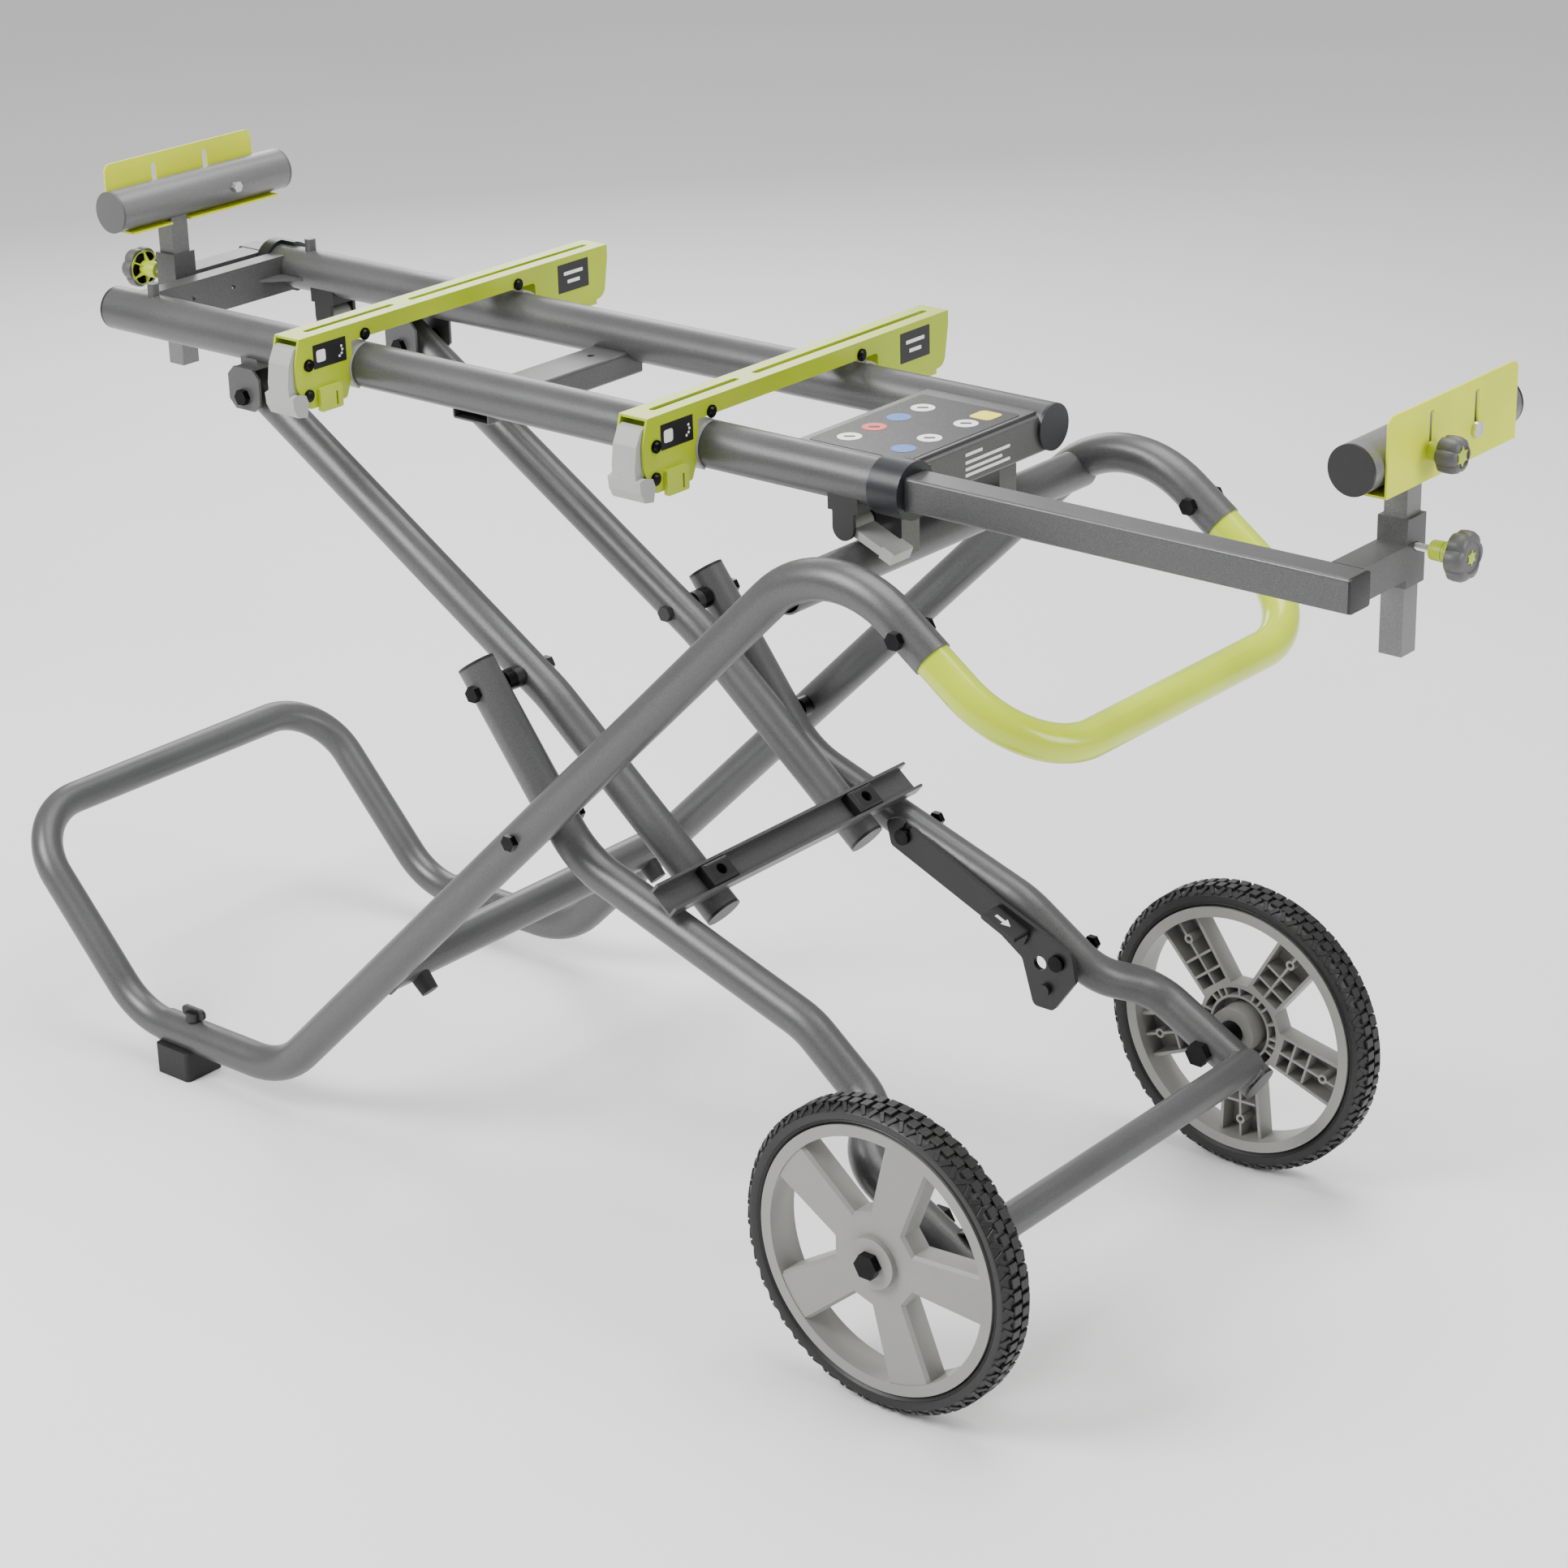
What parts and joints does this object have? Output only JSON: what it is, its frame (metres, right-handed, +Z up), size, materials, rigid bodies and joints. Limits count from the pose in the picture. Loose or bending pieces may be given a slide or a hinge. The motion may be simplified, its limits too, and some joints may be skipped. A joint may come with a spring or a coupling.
{
  "type": "mitre saw stand",
  "caption": "Folding wheeled stand for a mitre saw, with twin rails, clamp-on saw brackets and sliding work supports.",
  "frame": {"origin": "on the ground, below the middle of the open stand's overall box", "axes": "+X along the rails towards the handle and wheels, +Y across the stand, +Z up"},
  "size_m": [1.683, 0.6406, 0.943],
  "materials": {
    "dark_coat": "satin",
    "lime_coat": "gloss",
    "black_plastic": "matte",
    "collar_plastic": "satin",
    "grey_plastic": "satin",
    "rim_plastic": "satin",
    "lime_plastic": "satin",
    "rubber": "matte",
    "tyre_rubber": "matte",
    "black_bolts": "satin",
    "zinc": "satin"
  },
  "bodies": {
    "leg_frame": {"leg_tube_near": "dark_coat", "leg_tube_far": "dark_coat", "leg_cross_members": "dark_coat", "table_forks": "dark_coat", "foot_loop": "dark_coat", "handle_loop": "lime_coat", "leg_bumpers": "rubber", "foot_pads": "rubber", "leg_fasteners": "black_bolts"},
    "foot_wing": {"foot_wing_bolt": "black_plastic"},
    "table": {"rail_near": "dark_coat", "rail_far": "dark_coat", "left_cross_channel": "dark_coat", "mid_cross_tube": "dark_coat", "right_end_box": "dark_coat", "top_plate": "dark_coat", "rail_end_fittings": "collar_plastic", "table_tabs": "dark_coat", "link_clevises": "dark_coat", "pivot_lugs": "dark_coat", "table_bolts": "black_bolts", "arm_lock_saddles": "black_plastic"},
    "wheel_frame": {"wheel_tube_near": "dark_coat", "wheel_tube_far": "dark_coat", "axle_cross_tube": "dark_coat", "wheel_frame_caps": "black_plastic", "wheel_frame_bolts": "black_bolts"},
    "lock_pedal": {"lock_bar": "dark_coat", "lock_pedal_pad": "black_plastic"},
    "link_frame": {"link_tube_near": "dark_coat", "link_tube_far": "dark_coat", "rest_channel": "dark_coat", "rest_saddles": "black_plastic", "link_frame_fittings": "black_plastic"},
    "wheel_near": {"rim_near": "rim_plastic", "tyre_near": "tyre_rubber"},
    "wheel_far": {"rim_far": "rim_plastic", "tyre_far": "tyre_rubber"},
    "extension_right": {"arm_right": "dark_coat"},
    "support_right": {"post_right": "dark_coat", "support_caps_right": "black_plastic", "carriage_bolt_right": "zinc"},
    "stop_right": {"stop_plate_right": "lime_coat"},
    "plate_clamp_right": {"plate_knob_right": "black_plastic"},
    "sleeve_clamp_right": {"sleeve_knob_right": "black_plastic"},
    "arm_clamp_right": {"arm_lever_right": "grey_plastic"},
    "bracket_right": {"saw_bracket_right": "lime_coat", "bracket_blocks_right": "lime_plastic"},
    "bracket_release_right": {"bracket_lever_right": "grey_plastic"},
    "extension_left": {"arm_left": "dark_coat"},
    "support_left": {"post_left": "dark_coat", "support_caps_left": "black_plastic", "carriage_bolt_left": "zinc"},
    "stop_left": {"stop_plate_left": "lime_coat"},
    "plate_clamp_left": {"plate_knob_left": "black_plastic"},
    "sleeve_clamp_left": {"sleeve_knob_left": "black_plastic"},
    "arm_clamp_left": {"arm_lever_left": "grey_plastic"},
    "bracket_left": {"saw_bracket_left": "lime_coat", "bracket_blocks_left": "lime_plastic"},
    "bracket_release_left": {"bracket_lever_left": "grey_plastic"}
  },
  "joints": [
    {"name": "table_fold", "type": "hinge", "parent": "leg_frame", "child": "table", "pos_m": [0.286, 0, 0.803], "axis": [0, -1, 0], "range_deg": [0, 39.4]},
    {"name": "wheel_frame_fold", "type": "hinge", "parent": "leg_frame", "child": "wheel_frame", "pos_m": [-0.052, 0, 0.411], "axis": [0, -1, 0], "range_deg": [-100.2, 0]},
    {"name": "link_fold", "type": "hinge", "parent": "table", "child": "link_frame", "pos_m": [-0.497, 0, 0.751], "axis": [0, -1, 0], "range_deg": [0, 22.9]},
    {"name": "wheel_near_spin", "type": "hinge", "parent": "wheel_frame", "child": "wheel_near", "pos_m": [0.438, -0.29, 0.1524], "axis": [0, 1, 0], "continuous": true},
    {"name": "wheel_far_spin", "type": "hinge", "parent": "wheel_frame", "child": "wheel_far", "pos_m": [0.438, 0.29, 0.1524], "axis": [0, 1, 0], "continuous": true},
    {"name": "foot_lock_press", "type": "hinge", "parent": "wheel_frame", "child": "lock_pedal", "pos_m": [0.317, 0.1406, 0.244], "axis": [0, -1, 0], "range_deg": [0, 3.4], "stiffness_Nm_per_rad": 60},
    {"name": "foot_wing_turn", "type": "hinge", "parent": "leg_frame", "child": "foot_wing", "pos_m": [-0.565, -0.2214, 0.067], "axis": [0, 0, 1], "continuous": true},
    {"name": "arm_right_slide", "type": "slide", "parent": "table", "child": "extension_right", "axis": [1, 0, 0], "range_m": [-0.4, 0.1]},
    {"name": "post_right_slide", "type": "slide", "parent": "extension_right", "child": "support_right", "axis": [0, 0, 1], "range_m": [-0.005, 0.055]},
    {"name": "stop_right_slide", "type": "slide", "parent": "support_right", "child": "stop_right", "axis": [0, 0, 1], "range_m": [-0.026, 0]},
    {"name": "plate_knob_right_turn", "type": "hinge", "parent": "support_right", "child": "plate_clamp_right", "pos_m": [0.8195, -0.013, 0.899], "axis": [1, 0, 0], "continuous": true},
    {"name": "sleeve_knob_right_turn", "type": "hinge", "parent": "extension_right", "child": "sleeve_clamp_right", "pos_m": [0.8285, -0.013, 0.815], "axis": [1, 0, 0], "continuous": true},
    {"name": "arm_lever_right_turn", "type": "hinge", "parent": "table", "child": "arm_clamp_right", "pos_m": [0.274, -0.1114, 0.761], "axis": [0, -1, 0], "range_deg": [0, 28]},
    {"name": "arm_left_slide", "type": "slide", "parent": "table", "child": "extension_left", "axis": [-1, 0, 0], "range_m": [0, 0.45]},
    {"name": "post_left_slide", "type": "slide", "parent": "extension_left", "child": "support_left", "axis": [0, 0, 1], "range_m": [-0.005, 0.055]},
    {"name": "stop_left_slide", "type": "slide", "parent": "support_left", "child": "stop_left", "axis": [0, 0, 1], "range_m": [-0.026, 0]},
    {"name": "plate_knob_left_turn", "type": "hinge", "parent": "support_left", "child": "plate_clamp_left", "pos_m": [-0.7755, -0.013, 0.899], "axis": [1, 0, 0], "continuous": true},
    {"name": "sleeve_knob_left_turn", "type": "hinge", "parent": "extension_left", "child": "sleeve_clamp_left", "pos_m": [-0.7845, -0.013, 0.815], "axis": [1, 0, 0], "continuous": true},
    {"name": "arm_lever_left_turn", "type": "hinge", "parent": "table", "child": "arm_clamp_left", "pos_m": [-0.622, 0.1114, 0.761], "axis": [0, -1, 0], "range_deg": [0, 45]},
    {"name": "bracket_left_slide", "type": "slide", "parent": "table", "child": "bracket_left", "axis": [1, 0, 0], "range_m": [-0.24, 0.15]},
    {"name": "bracket_lever_left_turn", "type": "hinge", "parent": "bracket_left", "child": "bracket_release_left", "pos_m": [-0.359, -0.19, 0.822], "axis": [-1, 0, 0], "range_deg": [0, 45]},
    {"name": "bracket_right_slide", "type": "slide", "parent": "table", "child": "bracket_right", "axis": [1, 0, 0], "range_m": [-0.15, 0.08]},
    {"name": "bracket_lever_right_turn", "type": "hinge", "parent": "bracket_right", "child": "bracket_release_right", "pos_m": [0.091, -0.19, 0.822], "axis": [-1, 0, 0], "range_deg": [0, 45]}
  ],
  "couplings": [
    {"joint": "wheel_frame_fold", "follows": "table_fold", "ratio": -2.5381},
    {"joint": "link_fold", "follows": "table_fold", "ratio": 0.57868}
  ]
}
